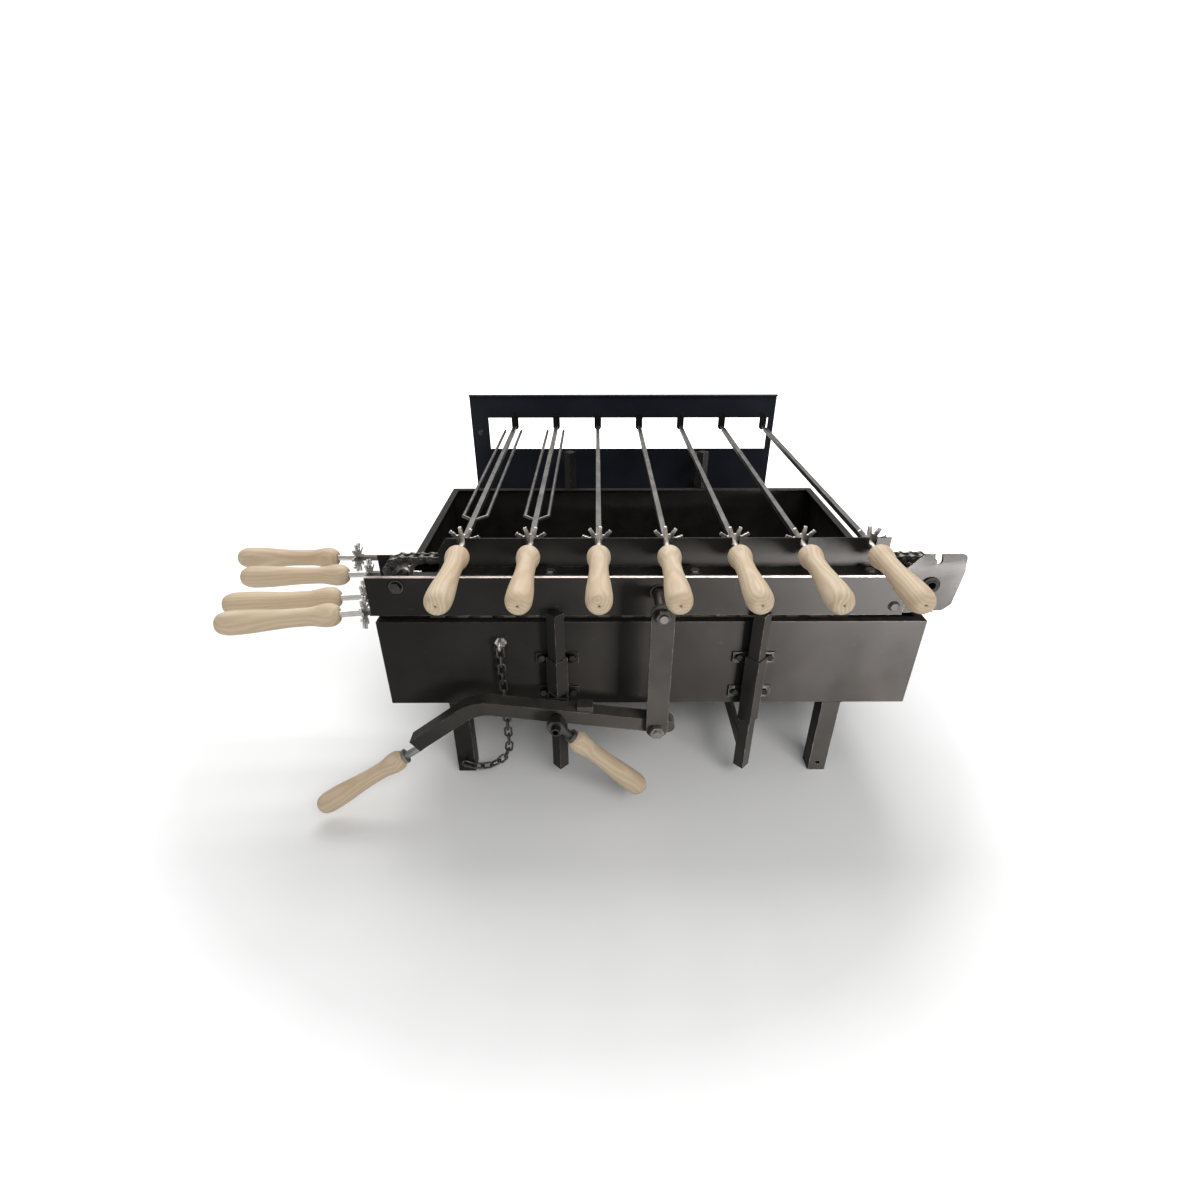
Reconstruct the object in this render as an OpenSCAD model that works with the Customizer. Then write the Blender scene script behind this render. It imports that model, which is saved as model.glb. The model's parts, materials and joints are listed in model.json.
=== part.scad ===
// Rotisserie spit roaster: charcoal box, lifting skewer rack, chain drive, lever and skewers.
// Millimetres, +Z up, -Y is the side where the user stands. Z = 0 is the plane of the feet.

/* [Charcoal box] */
// Length of the box, left to right
box_w = 709; // [709:1:712]
// Depth of the box, front to rear
box_d = 504; // [500:1:510]
// Height of the box's underside above the feet
box_z = 130; // [126:1:134]
// Height of the box itself
box_h = 132; // [130:0.5:133]
// Sheet thickness of the box
sheet = 2; // [1.5:0.1:2]
// Width of the rim, which is folded inwards
rim_w = 12; // [10:1:16]
// Outer width of a leg's square tube
leg_w = 25; // [22:1:28]
// Distance between the left and the right legs
leg_span = 520; // [480:5:560]

/* [Skewer rack] */
// Height of the skewers' axes
axis_z = 357; // [356:0.5:358]
// Height of the rail's underside
rail_z = 274; // [272:0.5:274.5]
// Height of the rail's top edge
rail_top = 330; // [328:0.5:331]
// Number of skewers in the rack
skewers = 7; // [3:1:7]
// Height of the rear panel's top edge
panel_top = 420; // [405:1:440]
// Side of a guide post's square tube
post_w = 16; // [15:0.5:16]

/* [Chain drive] */
// Pitch of the roller chain
pitch = 12.7; // [12.6:0.05:12.75]
// Chain pitches between two skewers, in thirds
thirds = 20; // [18:1:20]
// Diameter of a chain roller
roller_d = 8; // [7.6:0.1:8.2]

/* [Skewers] */
// Length of a small wooden handle
grip_len = 130; // [110:1:150]
// Length of a large wooden handle
big_grip_len = 150; // [140:1:160]
// Side of the square skewer rod
rod_w = 7; // [6:0.5:7]

/* [Hidden] */
$fn = 48;

steel_black = [0.13, 0.12, 0.11];
steel_bare = [0.55, 0.55, 0.53];
zinc = [0.78, 0.76, 0.74];
chain_grey = [0.33, 0.32, 0.30];
beech = [0.93, 0.84, 0.66];

gap = 0.05;                            // running clearance of a shaft in its hole, on the radius
box_x = box_w / 2;
box_y = box_d / 2;
rim_z = box_z + box_h;

// Chain wheels
teeth = 10;
pitch_r = pitch / (2 * sin(180 / teeth));
roller_r = roller_d / 2;
tooth_r = pitch_r + 1.85;
root_cut = roller_r + 0.4;
deep_at = 14.7;                        // middle and radius of a gap's narrow bottom
deep_r = 2.2;
gap_half = 6.3;                        // half width of a gap between two teeth at their tips
wheel_t = 3;
wheel_y = -218;                        // plane of every chain wheel in the rack
run_pitches = 52;                      // chain pitches between idler and drive wheel
idler_x = -318;
drive_x = idler_x + run_pitches * pitch;
run_top = axis_z - 20.5;
wheel_z = run_top - pitch_r;
wrap = teeth / 2;
pins = 2 * (run_pitches + wrap);
plate_h = 11;
first_skewer = 19 / 3;                 // pitches from the idler to the first skewer

function skewer_x(i) = idler_x + pitch * (first_skewer + (i - 1) * thirds / 3);

// Place of the chain's pin number i, as [x, z], clockwise from the top of the idler
function pin_at(i) =
    i <= run_pitches ? [idler_x + i * pitch, run_top]
    : i < run_pitches + wrap ? wheel_pin(drive_x, 90 - (i - run_pitches) * 360 / teeth)
    : i <= 2 * run_pitches + wrap ? [drive_x - (i - run_pitches - wrap) * pitch, wheel_z - pitch_r]
    : wheel_pin(idler_x, -90 - (i - 2 * run_pitches - wrap) * 360 / teeth);
function wheel_pin(x, a) = [x + pitch_r * cos(a), wheel_z + pitch_r * sin(a)];

// Skewers, along Y from the wheel's middle
neck_r = 4.5;
neck_len = 28;
grip_y = wheel_y - neck_len;
grip_end = grip_y - grip_len;
tang_len = 60;
tip_y = 373;
tip_r = 3;
tip_len = 40;
point_r = 0.8;
point_len = 8;
fork_y = wheel_y + 75;
fork_half = 16;
prong_r = 2.5;
fork_rise = 14;
knee_r = prong_r + 0.25;
waist_at = 0.36;                       // thinnest and thickest place of a handle, as parts of its length
end_at = 0.84;
small_grip_d = 30;
big_grip_d = 32;
prong_end = tip_y - 52;

// Front rail and notch plate
rail_front = -256;
rail_rear = -194;
rail_x = box_x + 3;
plate_right = 316;
guide_z = run_top - roller_r - 0.1;
notch_y = -230;
notch_top = axis_z + 12;
notch_left = -268;
notch_right = 293;
notch_corner = [12, 18];
rail_bolt_x = [-128, 51, 268];
rail_bolt_y = notch_y - 15;
small_bolt_r = 3;
small_hole_r = 3.2;
bracket_left = 290;
bracket_bolt_x = 303;
bracket_bolt_z = [287, 315];
shelf_z = [318, 320];                  // shelf under the chain's upper run
axle_r = 4;

// Guides
sleeve_w = post_w + 4;
bore_w = post_w + 0.4;
ear_t = 3;
guide_y = box_y + sleeve_w / sqrt(2);
guide_x = [-123, 137];
sleeve_z = [114, 216];
ear_z = [152, 209];
ear_x = 20;
ear_edge = 8;                          // metal beside an ear's bolt
ear_half = 9;
post_wall = 2;
front_post_z = [29, 284];
rear_post_z = [29, 331];

// Rear panel
panel_y = 359;
panel_t = 2;
panel_x = [-327, 293];
panel_low = 165;
window_z = [310, 374];
stile_w = [35, 12];
bar_z = [45, 67];
bar_t = 8;
arm_z = [[225, 245], [285, 305]];
arm_half = 2.5;

// Lever and link
pivot = [guide_x[0], 150];
link_low = [7, 133];
link_high = [7, 307];
lever_w = 20;
lever_wall = 2;
lever_front = -304;
lever_y = lever_front + lever_w / 2;
bend = [-229, 164];
lever_left = [-315, 98];
stud_r = 6;
bolt_r = 5;
link_y = -311;
link_t = 5;
link_w = 28;
long_bolt_end = -322;
nut_front = -319;
lock_y = -320;
stud_end = -336;
lever_grip_from = [-332, -304, 80];
lever_grip_turn = -17;                 // swing of the lever's handle towards the user
lever_grip_drop = 26;                  // slope of the lever's handle below the horizontal
lever_grip_d = 29;
lever_tang_r = 5;
lock_neck = 30;

// Retaining chain
eye = [-196, -261, 232];
eye_r = 6.5;
eye_wire = 2;
ring_wire = 1.5;
ring_pitch = 14;
ring_gap = 0.5;
ring_half_w = 4.5;
ring_step = ring_pitch - ring_gap;
first_ring_z = eye[2] - eye_r + eye_wire + ring_wire + ring_gap - ring_pitch / 2 - ring_wire;
hang_rings = 12;
curl_rings = 7;
curl_r = 45;
curl_z = first_ring_z - hang_rings * ring_step;
curl_step = 2 * asin(ring_step / 2 / curl_r);

// Large skewers, each [x of the wheel, y at the left rim, y at the right end]
large = [[-374, -229, -112], [-388, -186, -99], [-401, -122, -86], [-436, -70, -73]];
large_z = rim_z + rod_w / 2 + 0.1;
large_len = 790;
large_neck = 30;
function large_yaw(i) = atan((large[i][2] - large[i][1]) / box_w);
function large_wheel_y(i) = large[i][1] + (large[i][0] + box_x) * tan(large_yaw(i));

// Middle of the bounding box, which becomes the origin
grip_face_r = 7;
far = large_yaw(3);
x_low = large[3][0] - (large_neck + big_grip_len) * cos(far) - grip_face_r * abs(sin(far));
x_high = large[0][0] + large_len * cos(large_yaw(0));
mid_x = (x_low + x_high) / 2;
mid_y = (grip_end + tip_y) / 2;

// ---------------------------------------------------------------- shared shapes

module placed() {
    translate([-mid_x, -mid_y, 0]) children();
}

module block(low, high) {
    translate(low) cube(high - low);
}

// Round bar along Y from y0 to y1, centred on x and z
module bar_y(x, z, y0, y1, r) {
    translate([x, y1, z]) rotate([90, 0, 0]) cylinder(r = r, h = y1 - y0);
}

// Hexagon nut or bolt head along Y
module hex_y(x, z, y0, y1, r) {
    translate([x, y1, z]) rotate([90, 0, 0]) cylinder(r = r, h = y1 - y0, $fn = 6);
}

// Square bar stood on its corner, from z0 to z1
module diamond(x, y, z0, z1, w) {
    translate([x, y, z0]) rotate(45) translate([-w / 2, -w / 2, 0]) cube([w, w, z1 - z0]);
}

// Bar of round section between two points
module rod_between(a, b, r) {
    d = b - a;
    flat = norm([d[0], d[1]]);
    translate(a) rotate([0, atan2(flat, d[2]), atan2(d[1], d[0])]) cylinder(r = r, h = norm(d));
}

// Star-shaped chain wheel about Z with deep gaps, the first one turned by a degrees
module wheel(a, bore) {
    side = [[deep_at - 0.5, deep_r - 0.2], [pitch_r + 0.3, root_cut - 0.02], [tooth_r + 1, gap_half]];
    difference() {
        cylinder(r = tooth_r, h = wheel_t, center = true);
        for (k = [0:teeth - 1])
            rotate(a + k * 360 / teeth) {
                translate([pitch_r, 0, 0]) cylinder(r = root_cut, h = 2 * wheel_t, center = true);
                translate([deep_at, 0, 0]) cylinder(r = deep_r, h = 2 * wheel_t, center = true);
                linear_extrude(2 * wheel_t, center = true)
                    polygon(concat(side, [for (p = reversed(side)) [p[0], -p[1]]]));
            }
        if (bore > 0)
            cylinder(r = bore, h = 2 * wheel_t, center = true);
    }
}

// Angle of a skewer wheel's gap that takes the chain roller nearest below it
function gap_angle(i) =
    let (p = first_skewer + (i - 1) * thirds / 3)
    -90 + (round(p) - p) * 360 / teeth;

// Radius of a turned handle at t, 0 at its front shoulder and 1 at its end
function ease(d) = d >= 1 ? 1 : sqrt(1 - (1 - d) * (1 - d));
function bump(u) = abs(u) >= 1 ? 0 : (1 + cos(180 * u)) / 2;
function grip_r(t, thick) =
    let (swell = t < waist_at ? 0 : bump(min((end_at - t) / (end_at - waist_at), 1)))
    let (body = thick * (0.378 + 0.105 * bump((t - 0.1) / 0.17) + 0.114 * (t > end_at ? 1 : swell)))
    grip_face_r + (body - grip_face_r) * min(ease(t / 0.07), ease((1 - t) / 0.12));

// Turned handle along +Z, with a blind bore for its tang and a small hole in its end
module grip(len, thick, tang) {
    steps = 24;
    curve = [for (k = [0:steps]) let (t = (1 - cos(180 * k / steps)) / 2) [grip_r(t, thick), t * len]];
    difference() {
        rotate_extrude() polygon(concat([[0, 0]], curve, [[0, len]]));
        translate([0, 0, -1]) cylinder(r = tang + gap, h = tang_len + 1 + gap);
        translate([0, 0, len - 8]) cylinder(r = 1.5, h = 9);
    }
}

// ---------------------------------------------------------------- box

ledge_w = 12;
ledge_top = box_z + 13;

module fire_box() {
    color(steel_black) placed() {
        difference() {
            block([-box_x, -box_y, box_z], [box_x, box_y, rim_z]);
            block([-box_x + sheet, -box_y + sheet, box_z + sheet],
                  [box_x - sheet, box_y - sheet, rim_z - sheet]);
            block([-box_x + rim_w, -box_y + rim_w, rim_z - 2 * sheet],
                  [box_x - rim_w, box_y - rim_w, rim_z + 1]);
        }
        for (s = [-1, 1])                    // ledges that the grate rests on
            translate([0, s * (box_y - sheet - ledge_w / 2), ledge_top - sheet / 2])
                cube([box_w - 2 * sheet, ledge_w, sheet], center = true);
    }
}

module charcoal_grate() {
    slots = 17;
    side_gap = 7;
    web = 30;
    grate = [box_w - 2 * side_gap, box_d - 2 * side_gap, 3];
    step = (grate[0] - web) / slots;
    color(steel_black) placed() translate([0, 0, ledge_top + grate[2] / 2]) difference() {
        cube(grate, center = true);
        for (k = [0:slots - 1])
            for (s = [-1, 1])
                translate([(k - (slots - 1) / 2) * step, s * grate[1] / 4, 0])
                    cube([step / 2, grate[1] / 2 - web, 2 * grate[2]], center = true);
    }
}

leg_hole_z = 14;
leg_hole_r = 3.3;
leg_left = -264;
leg_x = [leg_left, leg_left + leg_span];
leg_inset = 2;
leg_wall = 2;
leg_y = box_y - leg_w / 2 - leg_inset;

module leg_block(x, y, half, z0, z1) {
    block([x - half, y - half, z0], [x + half, y + half, z1]);
}

module legs() {
    color(steel_black) placed()
        for (x = leg_x)
            for (y = [-leg_y, leg_y])
                difference() {
                    leg_block(x, y, leg_w / 2, 0, box_z);
                    leg_block(x, y, leg_w / 2 - leg_wall, -1, box_z - leg_wall);
                    bar_y(x, leg_hole_z, y - leg_w, y + leg_w, leg_hole_r);
                }
}

// Two guide sleeves on the front of the box
module sleeve_pair() {
    for (x = guide_x)
        difference() {
            union() {
                diamond(x, -guide_y, sleeve_z[0], sleeve_z[1], sleeve_w);
                for (z = ear_z)
                    block([x - ear_x - ear_edge, -box_y - ear_t, z - ear_half],
                          [x + ear_x + ear_edge, -box_y, min(z + ear_half, sleeve_z[1])]);
            }
            diamond(x, -guide_y, sleeve_z[0] - 1, sleeve_z[1] + 1, bore_w);
            block([x - sleeve_w, -box_y, sleeve_z[0] - 1], [x + sleeve_w, -box_y + 5, sleeve_z[1] + 1]);
        }
}

module front_sleeves() {
    color(steel_black) placed() sleeve_pair();
}

module rear_sleeves() {
    color(steel_black) placed() mirror([0, 1, 0]) sleeve_pair();
}

module sleeve_bolts() {
    head_h = 4;
    color(zinc) placed()
        for (m = [0, 1])
            mirror([0, m, 0])
                for (x = guide_x)
                    for (z = ear_z)
                        for (s = [-1, 1])
                            hex_y(x + s * ear_x, z, -box_y - ear_t - head_h, -box_y - ear_t, 5);
}

// Block and stud on the left front sleeve, which the lever turns on
module lever_pivot() {
    half = 12;
    block_rear = -268;
    bore_depth = 12;
    bore_r = 3.5;
    color(steel_bare) placed() difference() {
        union() {
            block([pivot[0] - half, lever_front + lever_w + 1, pivot[1] - half],
                  [pivot[0] + half, block_rear, pivot[1] + half]);
            bar_y(pivot[0], pivot[1], stud_end, block_rear - half, stud_r);
        }
        diamond(pivot[0], -guide_y, pivot[1] - sleeve_w, pivot[1] + sleeve_w, sleeve_w);
        bar_y(pivot[0], pivot[1], stud_end - 1, stud_end + bore_depth, bore_r);
    }
}

module chain_eye() {
    color(zinc) placed() {
        translate(eye) rotate([0, 90, 0]) rotate_extrude() translate([eye_r, 0]) circle(r = eye_wire);
        hex_y(eye[0], eye[2], -box_y - 3, -box_y, 8);
        bar_y(eye[0], eye[2], eye[1] + eye_r, -box_y - 2, 2.5);
    }
}

// One oval chain link in the XZ plane, its long axis along Z
module oval_ring() {
    half = ring_pitch / 2 + ring_wire - ring_half_w;
    for (s = [0, 180])
        rotate([0, s, 0]) translate([0, 0, half]) rotate([90, 0, 0])
            rotate_extrude(angle = 180) translate([ring_half_w, 0]) circle(r = ring_wire, $fn = 20);
    for (s = [-1, 1])
        translate([s * ring_half_w, 0, -half]) cylinder(r = ring_wire, h = 2 * half, $fn = 20);
}

function curl_mid(k) = [eye[0] - curl_r + curl_r * cos((k + 0.5) * curl_step),
                        curl_z + ring_step / 2 - curl_r * sin((k + 0.5) * curl_step)];
curl_end = curl_mid(curl_rings - 1);
curl_turn = (curl_rings - 0.5) * curl_step;
ring_reach = ring_pitch / 2 - 3.2;
peg = [curl_end[0] - ring_reach * sin(curl_turn), curl_end[1] - ring_reach * cos(curl_turn)];

module retaining_chain() {
    color(chain_grey) placed() {
        for (k = [0:hang_rings - 1])
            translate([eye[0], eye[1], first_ring_z - k * ring_step]) rotate((k % 2) * 90) oval_ring();
        for (k = [0:curl_rings - 1])
            translate([curl_mid(k)[0], eye[1], curl_mid(k)[1]])
                rotate([0, (k + 0.5) * curl_step, 0]) rotate(((k + hang_rings) % 2) * 90) oval_ring();
        bar_y(peg[0], peg[1], eye[1] - 5, -leg_y - leg_w / 2, 2.9);
    }
}

// ---------------------------------------------------------------- rack

module front_rail() {
    lip = 16;
    color(steel_black) placed() difference() {
        union() {
            block([-box_x - 1.5, rail_front, rail_z], [plate_right, rail_front + sheet, rail_top]);
            block([notch_left - 30, rail_front, rail_top - 4],
                  [bracket_left - 1, rail_front + lip, rail_top - 2]);
            block([-rail_x, rail_front, rail_z], [plate_right, rail_rear, rail_z + sheet]);
            block([plate_right - 1, rail_front + 6, rail_z], [rail_x, rail_rear, rail_z + sheet]);
            block([-rail_x, rail_rear - sheet, rail_z], [rail_x, rail_rear, rail_top]);
            block([notch_left, wheel_y - wheel_t / 2, shelf_z[0]], [notch_right, rail_rear - 1, shelf_z[1]]);
            block([notch_left, wheel_y - wheel_t / 2, shelf_z[0]],
                  [notch_right, wheel_y + wheel_t / 2, guide_z]);
        }
        bar_y(idler_x, wheel_z, rail_front - 1, rail_rear + 1, axle_r + 0.1);
        bar_y(drive_x, wheel_z, rail_rear - 5, rail_rear + 5, shaft_r + 0.1);
        bar_y(link_high[0], link_high[1], rail_front - 1, rail_front + 5, bolt_r + 0.1);
        for (x = rail_bolt_x)
            translate([x, rail_bolt_y, rail_top - 5]) cylinder(r = small_hole_r, h = 5);
        for (z = bracket_bolt_z)
            bar_y(bracket_bolt_x, z, rail_front - 1, rail_front + 3, small_hole_r);
    }
}

module notch_plate() {
    slot_r = neck_r + gap;
    color(steel_black) placed() difference() {
        union() {
            translate([0, notch_y + sheet, 0]) rotate([90, 0, 0]) linear_extrude(sheet)
                polygon([[notch_left, rail_top - 2], [notch_right, rail_top - 2], [notch_right, notch_top],
                    [notch_left + notch_corner[0], notch_top], [notch_left, notch_top - notch_corner[1]]]);
            block([notch_left, rail_front + 4, rail_top - 2], [notch_right, notch_y + 1, rail_top]);
        }
        for (i = [1:skewers]) {
            bar_y(skewer_x(i), axis_z, notch_y - 5, notch_y + 5, slot_r);
            block([skewer_x(i) - slot_r, notch_y - 5, axis_z],
                  [skewer_x(i) + slot_r, notch_y + 5, notch_top + 1]);
        }
        for (x = rail_bolt_x)
            translate([x, rail_bolt_y, rail_top - 5]) cylinder(r = small_hole_r, h = 6);
    }
}

// Bars under the box that join the front posts and the rear posts
module base_bars() {
    color(steel_black) placed()
        for (x = guide_x)
            difference() {
                block([x - bar_t / 2, -guide_y, bar_z[0]], [x + bar_t / 2, guide_y, bar_z[1]]);
                for (y = [-guide_y, guide_y])
                    diamond(x, y, bar_z[0] - 1, bar_z[1] + 1, post_w);
            }
}

module rear_panel() {
    lip = 8;
    rivet_z = 345;
    color(steel_black) placed() difference() {
        union() {
            block([panel_x[0], panel_y, panel_low], [panel_x[1], panel_y + panel_t, panel_top]);
            block([panel_x[0], panel_y - lip, panel_top - panel_t], [panel_x[1], panel_y + 1, panel_top]);
            bar_y(panel_x[0] + stile_w[0] / 2, rivet_z, panel_y - 1.5, panel_y + 1, 4);
        }
        block([panel_x[0] + stile_w[0], panel_y - 5, window_z[0]],
              [panel_x[1] - stile_w[1], panel_y + 5, window_z[1]]);
    }
}

module tip_hooks() {
    tab_t = 2;
    tab_half = 7;
    color(steel_bare) placed()
        for (i = [1:skewers])
            difference() {
                union() {
                    bar_y(skewer_x(i), axis_z, panel_y - tab_t, panel_y, tab_half);
                    block([skewer_x(i) - tab_half, panel_y - tab_t, axis_z],
                          [skewer_x(i) + tab_half, panel_y, window_z[1] + 10]);
                }
                bar_y(skewer_x(i), axis_z, panel_y - 5, panel_y + 5, tip_r + gap);
            }
}

module front_posts() {
    color(steel_black) placed()
        for (x = guide_x)
            difference() {
                diamond(x, -guide_y, front_post_z[0], front_post_z[1], post_w);
                diamond(x, -guide_y, front_post_z[0] - 1, front_post_z[1] - post_wall,
                        post_w - 2 * post_wall);
                block([x - post_w, rail_front, rail_z], [x + post_w, rail_front + 9, front_post_z[1] + 1]);
            }
}

module rear_posts() {
    color(steel_black) placed()
        for (x = guide_x) {
            difference() {
                diamond(x, guide_y, rear_post_z[0], rear_post_z[1], post_w);
                diamond(x, guide_y, rear_post_z[0] - 1, rear_post_z[1] - post_wall, post_w - 2 * post_wall);
            }
            difference() {
                for (z = arm_z)
                    block([x - arm_half, guide_y, z[0]], [x + arm_half, panel_y, z[1]]);
                diamond(x, guide_y, arm_z[0][0] - 1, arm_z[1][1] + 1, post_w - post_wall);
            }
        }
}

bush_r = 9;
shaft_r = 7;

module motor_bracket() {
    t = 3;
    bend_z = 334;
    y0 = rail_front + sheet;
    color(steel_black) placed() {
        difference() {
            translate([0, y0 + t, 0]) rotate([90, 0, 0]) linear_extrude(t)
                polygon([[bracket_left, 279], [366, 279], [376, 288], [381, bend_z], [304, bend_z],
                        [bracket_left, 322]]);
            bar_y(drive_x, wheel_z, y0 - 1, y0 + t + 1, bush_r);
            for (z = bracket_bolt_z)
                bar_y(bracket_bolt_x, z, y0 - 1, y0 + t + 1, small_hole_r);
        }
        translate([0, y0, bend_z]) rotate([-18, 0, 0]) difference() {
            translate([0, t, 0]) rotate([90, 0, 0]) linear_extrude(t) difference() {
                union() {
                    polygon([[304, 0], [381, 0], [382, 16], [376, 22], [330, 22]]);
                    translate([376, 16]) circle(r = 6);
                }
                translate([347, 14]) circle(r = 4.5);
                translate([342.5, 14]) square([9, 10]);
            }
        }
    }
}

module rail_bolts() {
    nut_r = 6;
    head_r = 5.5;
    color(zinc) placed() {
        for (x = rail_bolt_x)
            translate([x, rail_bolt_y, 0]) {
                translate([0, 0, rail_top - 9]) cylinder(r = small_bolt_r, h = 9.5);
                translate([0, 0, rail_top]) cylinder(r = nut_r, h = 3.5, $fn = 6);
                translate([0, 0, rail_top - 9]) cylinder(r = nut_r, h = 5, $fn = 6);
            }
        for (z = bracket_bolt_z) {
            bar_y(bracket_bolt_x, z, rail_front - 1, rail_front + 9, small_bolt_r);
            hex_y(bracket_bolt_x, z, rail_front - 4, rail_front, head_r);
            hex_y(bracket_bolt_x, z, rail_front + 5, rail_front + 9, head_r);
        }
    }
}

module idler_axle() {
    nut_r = 7.5;
    nut_h = 6;
    tube_r = 7;
    side = 4.5;
    color(zinc) placed() {
        bar_y(idler_x, wheel_z, rail_front - 3, rail_rear + nut_h + 1, axle_r);
        hex_y(idler_x, wheel_z, rail_front - nut_h, rail_front, nut_r);
        hex_y(idler_x, wheel_z, rail_rear, rail_rear + nut_h, nut_r);
        bar_y(idler_x, wheel_z, rail_front + sheet, wheel_y - side, tube_r);
        bar_y(idler_x, wheel_z, wheel_y + side, rail_rear - sheet, tube_r);
    }
}

module drive_bush() {
    y0 = rail_front + sheet;
    color(zinc) placed() difference() {
        union() {
            bar_y(drive_x, wheel_z, y0 - 3, y0 + 3, bush_r - gap);
            bar_y(drive_x, wheel_z, y0 - 3, y0, bush_r + 2);
        }
        bar_y(drive_x, wheel_z, y0 - 10, y0 + 10, shaft_r + gap);
    }
}

// Stadium-shaped chain plate between two pins at the origin and at +X, t thick along Y from y
module link_plate(y, t) {
    translate([0, y + t, 0]) rotate([90, 0, 0]) linear_extrude(t) {
        circle(r = plate_h / 2);
        translate([pitch, 0]) circle(r = plate_h / 2);
        translate([0, -plate_h * 0.4]) square([pitch, plate_h * 0.8]);
    }
}

module inner_link() {
    inside = 3.9;
    difference() {
        union() {
            link_plate(inside, 1.5);
            link_plate(-inside - 1.5, 1.5);
            for (x = [0, pitch])
                bar_y(x, 0, -inside - 1, inside + 1, roller_r);
        }
        for (x = [0, pitch])
            bar_y(x, 0, -10, 10, 2.3);
    }
}

module outer_link() {
    outside = 5.6;
    link_plate(outside, 1.5);
    link_plate(-outside - 1.5, 1.5);
    for (x = [0, pitch])
        bar_y(x, 0, -outside - 2.2, outside + 2.2, 2.2);
}

module drive_chain() {
    color(chain_grey) placed()
        for (i = [0:pins - 1]) {
            a = pin_at(i);
            b = pin_at((i + 1) % pins);
            translate([a[0], wheel_y, a[1]]) rotate([0, -atan2(b[1] - a[1], b[0] - a[0]), 0])
                if (i % 2 == 0) inner_link(); else outer_link();
        }
}

module link_bolt() {
    color(zinc) placed() {
        bar_y(link_high[0], link_high[1], long_bolt_end, rail_front + 5, bolt_r);
        hex_y(link_high[0], link_high[1], rail_front + sheet, rail_front + 7, 9);
    }
}

// Nuts and tubes on the long bolt that hold the link clear of the rail
module link_spacers() {
    color(steel_bare) placed() difference() {
        union() {
            hex_y(link_high[0], link_high[1], rail_front - 7, rail_front, 9.5);
            bar_y(link_high[0], link_high[1], -305.5, rail_front - 7.2, 8);
            hex_y(link_high[0], link_high[1], nut_front, -311.5, 9.5);
        }
        bar_y(link_high[0], link_high[1], -330, -240, bolt_r + 0.02);
    }
}

// ---------------------------------------------------------------- lever and link

lever_end = pivot + 146 * (pivot - bend) / norm(pivot - bend);

// Middle line of the lever from right to left, with its bend rounded
function lever_line(n = 8, r = 55) =
    let (a1 = atan2(bend[1] - pivot[1], bend[0] - pivot[0]),
         a2 = atan2(lever_left[1] - bend[1], lever_left[0] - bend[0]),
         turn = (a2 - a1 + 360) % 360,
         cut = r * tan(turn / 2),
         start = bend - cut * [cos(a1), sin(a1)],
         mid = start + r * [-sin(a1), cos(a1)])
    concat([lever_end],
        [for (k = [0:n]) mid + r * [sin(a1 + turn * k / n), -cos(a1 + turn * k / n)]],
        [lever_left]);

// Outline of a strip of half width h about a line of points
function side_of(p, h) = [for (k = [0:len(p) - 1])
    let (d = p[min(k + 1, len(p) - 1)] - p[max(k - 1, 0)])
    p[k] + h * [-d[1], d[0]] / norm(d)];
function reversed(v) = [for (k = [len(v) - 1:-1:0]) v[k]];
function strip(p, h) = concat(side_of(p, h), reversed(side_of(p, -h)));

module lever_slab(h, t) {
    translate([0, lever_y + t / 2, 0]) rotate([90, 0, 0]) linear_extrude(t)
        polygon(strip(lever_line(), h));
}

module lever_arm() {
    stop_x = -86;
    stop = [10, 8, 163];
    color(steel_black) placed() difference() {
        union() {
            difference() {
                lever_slab(lever_w / 2, lever_w);
                intersection() {
                    lever_slab(lever_w / 2 - lever_wall, lever_w - 2 * lever_wall);
                    block([lever_left[0] + 8, -310, 0], [link_low[0] + 8, -270, 300]);
                }
            }
            bar_y(lever_end[0], lever_end[1], lever_front + 1, lever_front + lever_w - 1, lever_w / 2 - 0.2);
            block([stop_x - stop[0], lever_y - stop[1], pivot[1]],
                  [stop_x + stop[0], lever_y + stop[1], stop[2]]);
        }
        bar_y(pivot[0], pivot[1], lever_front - 5, lever_front + lever_w + 5, stud_r + gap);
        bar_y(link_low[0], link_low[1], lever_front - 5, lever_front + lever_w + 5, bolt_r + 0.02);
    }
}

// Frame of the lever's wooden handle, +Z along it
module lever_grip_frame() {
    translate(lever_grip_from)
        rotate([0, 0, 180 - lever_grip_turn]) rotate([0, 90 + lever_grip_drop, 0]) children();
}

module lever_tang() {
    reach = 26;
    color(steel_bare) placed() difference() {
        union() {
            lever_grip_frame() translate([0, 0, -reach]) cylinder(r = lever_tang_r, h = tang_len + reach);
            lever_grip_frame() translate([0, 0, -4]) cylinder(r = 10, h = 4 - gap);
        }
        lever_slab(lever_w / 2, lever_w);
    }
}

module lever_handle() {
    color(beech) placed() lever_grip_frame() grip(grip_len, lever_grip_d, lever_tang_r);
}

module lever_bolt() {
    color(zinc) placed() {
        bar_y(link_low[0], link_low[1], long_bolt_end, lever_front + lever_w + 2, bolt_r);
        hex_y(link_low[0], link_low[1], lever_front + lever_w, lever_front + lever_w + 6, 9);
        hex_y(link_low[0], link_low[1], nut_front, -311.8, 9.5);
    }
}

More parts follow.
